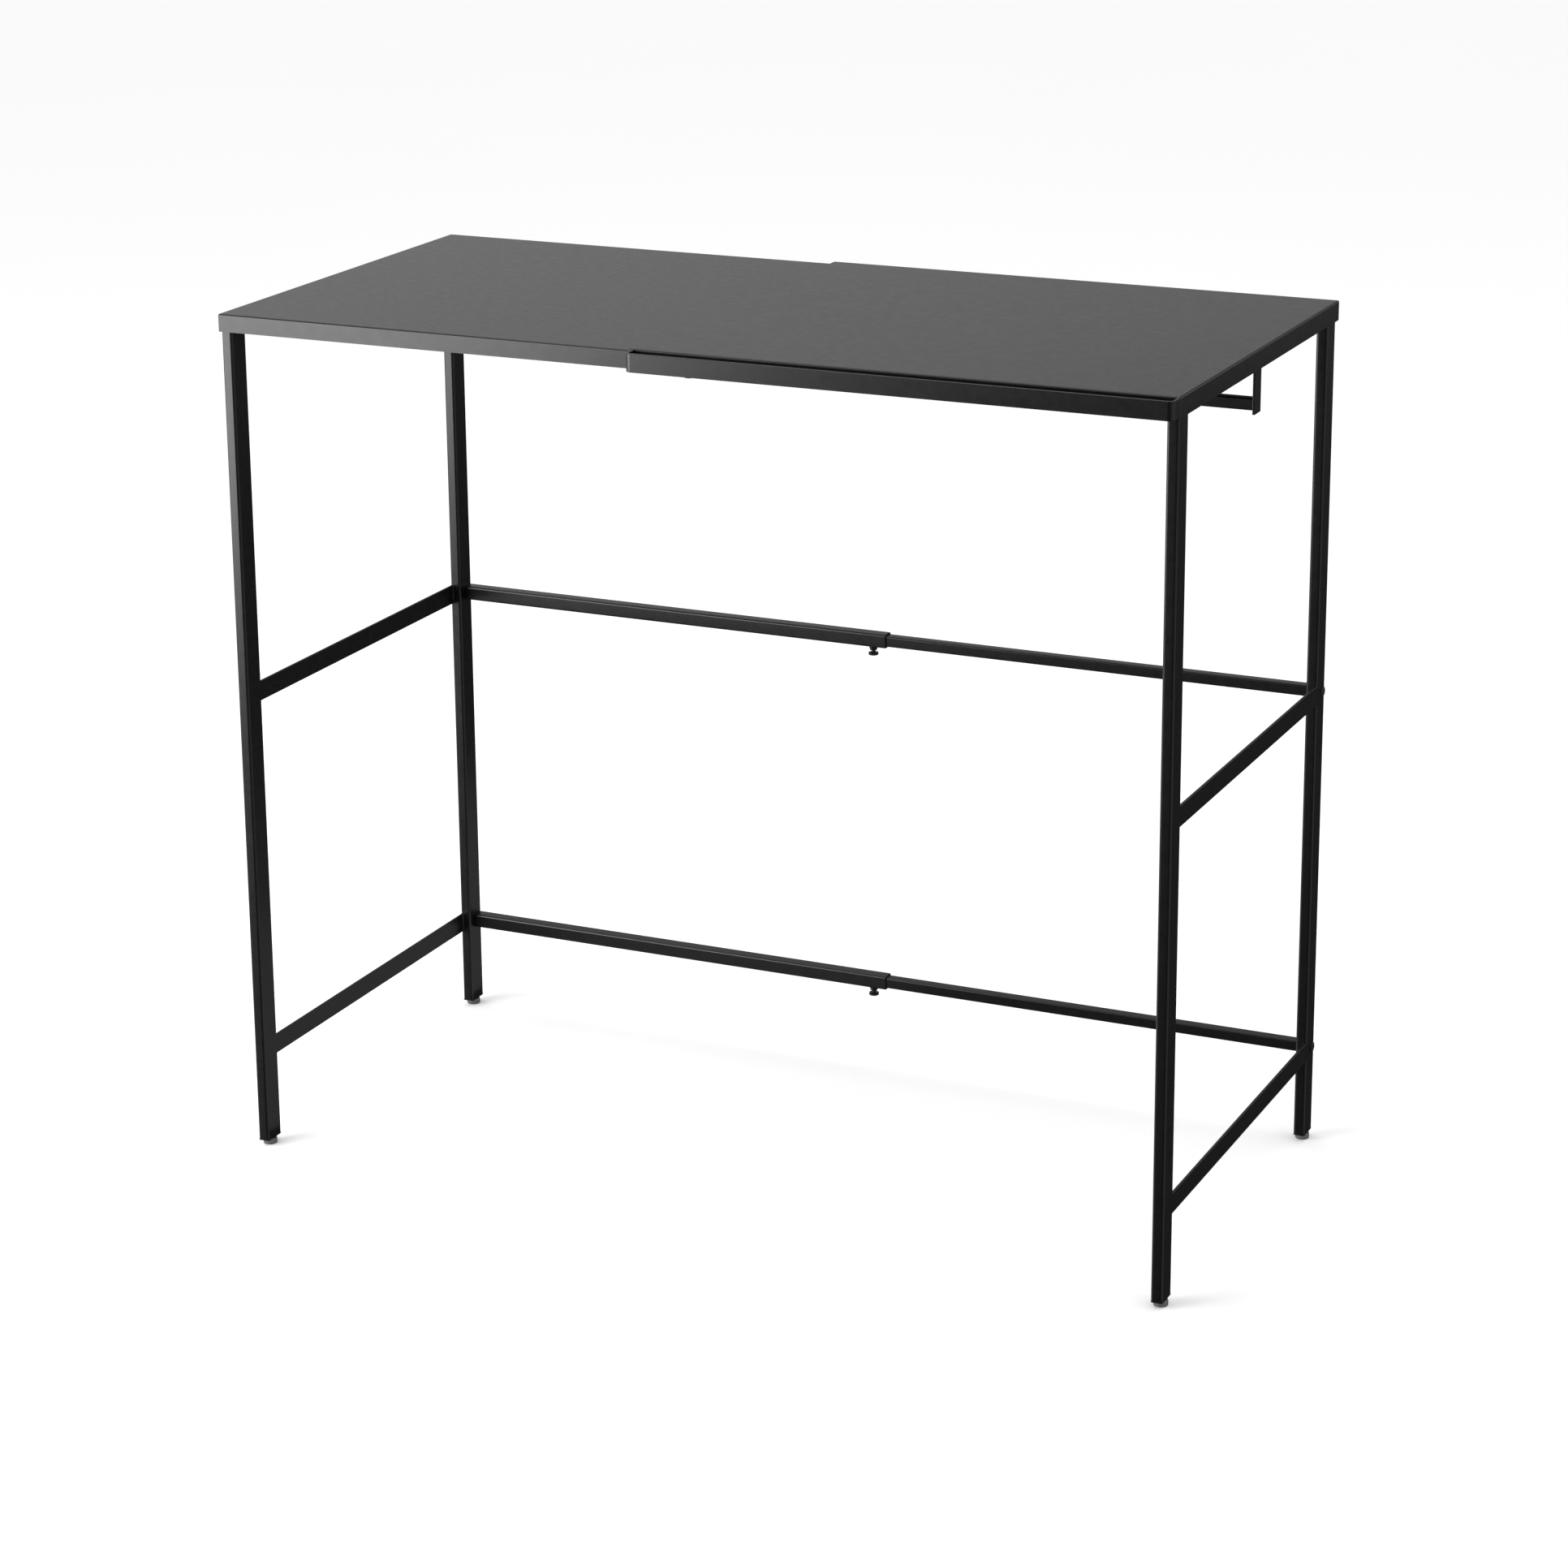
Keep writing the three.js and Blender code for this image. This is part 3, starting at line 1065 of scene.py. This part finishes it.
@dataclass
class RailFixings:
    """The bolts through the back legs and the blocks inside the rails."""

    wardrobe: Wardrobe
    head: float = 5.0 * MM
    head_height: float = 1.7 * MM
    rim: float = 0.35 * MM
    dome_steps: int = 6
    sides: int = 32
    eased: float = 0.08 * MM
    shank: float = 2.25 * MM
    socket: float = 1.75 * MM
    socket_depth: float = 1.2 * MM

    def bolt(self, length: float) -> Object:
        """Makes the pattern bolt, its low domed head at -X.

        Args:
            length: Its whole length.

        Returns:
            The bolt, its head's underside at the origin.
        """
        rise = self.head_height - self.rim
        turns = [math.radians(90 / self.dome_steps * i) for i in range(self.dome_steps + 1)]
        dome = [(self.head * math.sin(a), -self.rim - rise * math.cos(a)) for a in turns]
        tip = length - self.head_height
        profile = [*dome, (self.head, 0.0), (self.shank, 0.0), (self.shank, tip), (0.0, tip)]
        bolt = turned("rail_bolt_pattern", profile, self.sides)
        bpy.ops.object.select_all(action="DESELECT")
        bpy.ops.mesh.primitive_cylinder_add(
            vertices=6, radius=self.socket, depth=2 * self.socket_depth,
            location=(0, 0, -self.head_height),
        )
        key = bpy.context.active_object
        finish_modifier(bolt, "BOOLEAN", object=key, operation="DIFFERENCE", solver="EXACT")
        discard(key)
        ease_edges(bolt, self.eased, 1)
        smooth(bolt, SHARP_TURN)
        return place(bolt, Vector(), Matrix.Rotation(math.pi / 2, 4, "Y"))

    def build(self) -> None:
        """Makes one bolt, copies it to each leg, and dresses the blocks."""
        low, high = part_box("rail_bolt_back_mid_left")
        pattern = self.bolt(high.x - low.x)
        for side in Side:
            for level in ("mid", "low"):
                node = f"rail_bolt_back_{level}_{side.value}"
                low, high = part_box(node)
                x = low.x + self.head_height if side is Side.LEFT else high.x - self.head_height
                spot = Vector((x, (low.y + high.y) / 2, (low.z + high.z) / 2))
                turn = Matrix.Rotation(0.0 if side is Side.LEFT else math.pi, 4, "Z")
                twin = place(copy_of(pattern, f"{node}_domed"), spot, turn)
                self.wardrobe.hand_over(twin, side.body, Slot.FASTENER, node)
                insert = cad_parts[f"rail_insert_back_{level}_{side.value}"]
                self.wardrobe.dress(insert, Slot.INSERT)
        discard(pattern)


@dataclass
class Feet:
    """The screw-in feet under the legs."""

    wardrobe: Wardrobe
    radius: float = 7.0 * MM
    height: float = 6.0 * MM
    hollow: float = 0.5 * MM  # how deep the sole is hollowed
    # In millimetres: inwards from the rim with up from the floor, or down from the top.
    sole: Profile = ((1.9, 0.0), (0.9, 0.0), (0.35, 0.2), (0.05, 0.7), (0.0, 1.4))
    shoulder: Profile = ((0.1, 1.0), (0.35, 0.3), (1.0, 0.0))
    sole_edge: float = 2.4 * MM
    stud: float = 2.5 * MM
    tip: float = 0.5 * MM
    thread: float = 0.2 * MM
    pitch: float = 0.9 * MM

    def foot(self, length: float) -> Object:
        """Makes the pattern foot: a round pad with a threaded stud.

        Args:
            length: Its whole height.

        Returns:
            The foot, standing at the origin.
        """
        rim, top = self.radius, self.height
        profile = [(0.0, self.hollow), (rim - self.sole_edge, self.hollow)]
        profile += [(rim - inwards * MM, up * MM) for inwards, up in self.sole]
        profile += [(rim - inwards * MM, top - down * MM) for inwards, down in self.shoulder]
        thread = thread_rings(self.stud, self.thread, self.pitch, top, length)
        profile += [(self.stud, top), *thread, (self.stud - self.tip, length), (0.0, length)]
        foot = turned("foot_pattern", profile)
        smooth(foot, SHARP_TURN)
        return foot

    def build(self) -> None:
        """Makes one foot and copies it to each leg."""
        low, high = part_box("foot_front_left")
        pattern = self.foot(high.z - low.z)
        for side in Side:
            for end in ("front", "back"):
                node = f"foot_{end}_{side.value}"
                low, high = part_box(node)
                spot = centred(low, high, low.z)
                twin = place(copy_of(pattern, f"{node}_moulded"), spot)
                self.wardrobe.hand_over(twin, node, Slot.FOOT, node)
        discard(pattern)


# ---- Studio ---------------------------------------------------------------------


@dataclass(frozen=True)
class Softbox:
    """One large soft light, aimed at a point."""

    name: str
    spot: Vector
    aim: Vector
    width: float
    height: float
    glow: float  # how bright its face is

    def hang(self) -> None:
        """Adds the light."""
        lamp = bpy.data.lights.new(self.name, "AREA")
        lamp.shape = "RECTANGLE"
        lamp.size, lamp.size_y = self.width, self.height
        lamp.energy = self.glow * math.pi * self.width * self.height
        light = bpy.data.objects.new(self.name, lamp)
        facing = (self.aim - self.spot).to_track_quat("-Z", "Y")
        light.matrix_world = Matrix.Translation(self.spot) @ facing.to_matrix().to_4x4()
        light.visible_camera = False
        bpy.context.scene.collection.objects.link(light)


@dataclass
class Studio:
    """Pale floor, pale surround, soft lights and the camera."""

    eye: Vector = field(default_factory=lambda: Vector((1.5897, -3.4503, 1.6130)))
    yaw: float = 24.65
    pitch: float = 16.023
    roll: float = -0.456
    lens: float = 93.68
    sensor: float = 36.0
    shift: float = -0.09
    floor_size: float = 40.0
    floor_tones: tuple[Colour, Colour] = ((0.96, 0.96, 0.96), (0.98, 0.98, 0.98))
    floor_clouds: float = 0.7  # a metre
    floor_rough: float = 0.9

    def camera(self) -> None:
        """Adds the camera and makes it the scene's."""
        yaw, pitch, roll = (math.radians(a) for a in (self.yaw, self.pitch, self.roll))
        ahead = Vector((-math.sin(yaw) * math.cos(pitch), math.cos(yaw) * math.cos(pitch),
                        -math.sin(pitch)))
        level = Vector((math.cos(yaw), math.sin(yaw), 0.0))
        above = level.cross(ahead)
        right = level * math.cos(roll) + above * math.sin(roll)
        up = above * math.cos(roll) - level * math.sin(roll)
        data = bpy.data.cameras.new("studio_camera")
        data.lens, data.sensor_width, data.shift_y = self.lens, self.sensor, self.shift
        data.clip_start, data.clip_end = 0.05, 100.0
        camera = bpy.data.objects.new("studio_camera", data)
        turn = Matrix((right, up, -ahead)).transposed().to_4x4()
        camera.matrix_world = Matrix.Translation(self.eye) @ turn
        bpy.context.scene.collection.objects.link(camera)
        bpy.context.scene.camera = camera

    def floor(self) -> None:
        """Lays the pale floor, which the gloss on the table doesn't mirror."""
        bpy.ops.object.select_all(action="DESELECT")
        bpy.ops.mesh.primitive_plane_add(size=self.floor_size)
        floor = bpy.context.active_object
        floor.name = "studio_floor"
        material = bpy.data.materials.new("pale_floor")
        material.use_nodes = True
        tree = material.node_tree
        shader = tree.nodes["Principled BSDF"]
        coords = tree.nodes.new("ShaderNodeTexCoord").outputs["Object"]
        cloudy = noise_node(tree, coords, self.floor_clouds, 3.0)
        colour = Finish.mix(tree, cloudy, *self.floor_tones)
        link(tree, colour, shader.inputs["Base Color"])
        shader.inputs["Roughness"].default_value = self.floor_rough
        floor.data.materials.append(material)
        floor.visible_glossy = False

    def surround(self) -> None:
        """Makes the pale surround.

        It is plain white to the eye. Gloss mirrors soft boards instead, placed by the
        direction that it looks in: a bright band above the horizon that dims to the
        right, a dome overhead, a flank on each side, and a bounce low on the left.
        """
        world = bpy.data.worlds.new("studio_surround")
        bpy.context.scene.world = world
        world.use_nodes = True
        tree = world.node_tree
        out = tree.nodes["World Output"]
        seen = tree.nodes["Background"]
        seen.inputs["Color"].default_value = WHITE
        seen.inputs["Strength"].default_value = 1.0
        lit = tree.nodes.new("ShaderNodeBackground")
        coords = tree.nodes.new("ShaderNodeTexCoord").outputs["Generated"]
        parts = tree.nodes.new("ShaderNodeSeparateXYZ")
        link(tree, coords, parts.inputs[0])
        side, height = parts.outputs["X"], parts.outputs["Z"]
        rise = range_node(tree, height, (-0.12, 0.19), (0.0, 1.0))
        fall = range_node(tree, height, (0.23, 0.32), (1.0, 0.2))
        across = range_node(tree, side, (-0.55, -0.05), (1.0, 0.42))
        band = math_node(tree, "MULTIPLY", math_node(tree, "MULTIPLY", rise, fall), across)
        dome = range_node(tree, height, (0.45, 0.75), (0.05, 0.8))
        sideways = math_node(tree, "ABSOLUTE", side, 0.0)
        flanks = range_node(tree, sideways, (0.62, 0.82), (0.0, 0.5))
        below = range_node(tree, height, (0.0, -0.15), (0.0, 1.0))
        leftward = range_node(tree, side, (-0.30, -0.52), (0.0, 0.28))
        bounce = math_node(tree, "MULTIPLY", below, leftward)
        glow = math_node(tree, "ADD", math_node(tree, "ADD", band, dome), flanks)
        glow = math_node(tree, "ADD", glow, bounce)
        link(tree, glow, lit.inputs["Strength"])
        rays = tree.nodes.new("ShaderNodeLightPath")
        choose = tree.nodes.new("ShaderNodeMixShader")
        link(tree, rays.outputs["Is Glossy Ray"], choose.inputs[0])
        link(tree, seen.outputs[0], choose.inputs[1])
        link(tree, lit.outputs[0], choose.inputs[2])
        link(tree, choose.outputs[0], out.inputs["Surface"])

    @staticmethod
    def lights() -> None:
        """Hangs the soft lights: the main one, two fills, and a low one facing up."""
        table = Vector((0.0, 0.0, 0.5))
        low = Vector((-0.255, 0.35, 0.01))
        above_low = low + Vector((0.0, 0.0, 1.0))
        for light in (
            Softbox("front_left_softbox", Vector((-1.75, -1.75, 0.9)), table, 1.8, 1.7, 6.7),
            Softbox("overhead_softbox", Vector((0.0, 0.0, 3.2)), table, 3.0, 3.0, 0.8),
            Softbox("back_right_softbox", Vector((2.6, 3.2, 1.0)), table, 1.8, 1.8, 0.5),
            Softbox("floor_bounce", low, above_low, 0.41, 1.1, 0.2),
        ):
            light.hang()

    def build(self) -> None:
        """Sets up the whole studio."""
        self.camera()
        self.floor()
        self.surround()
        self.lights()
        bpy.context.scene.view_settings.view_transform = "Standard"


def main() -> None:
    """Builds and dresses the table, in order."""
    logging.basicConfig(level=logging.INFO, format="%(name)s: %(message)s")
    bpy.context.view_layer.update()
    Studio().build()
    wardrobe = Wardrobe()
    TopPanels(wardrobe).build()
    HookBar(wardrobe).build()
    for side in Side:
        EndFrame(side, wardrobe).build()
    TelescopingRails(wardrobe).build()
    ThumbScrews(wardrobe).build()
    RailFixings(wardrobe).build()
    Feet(wardrobe).build()


if __name__ == "__main__":
    main()
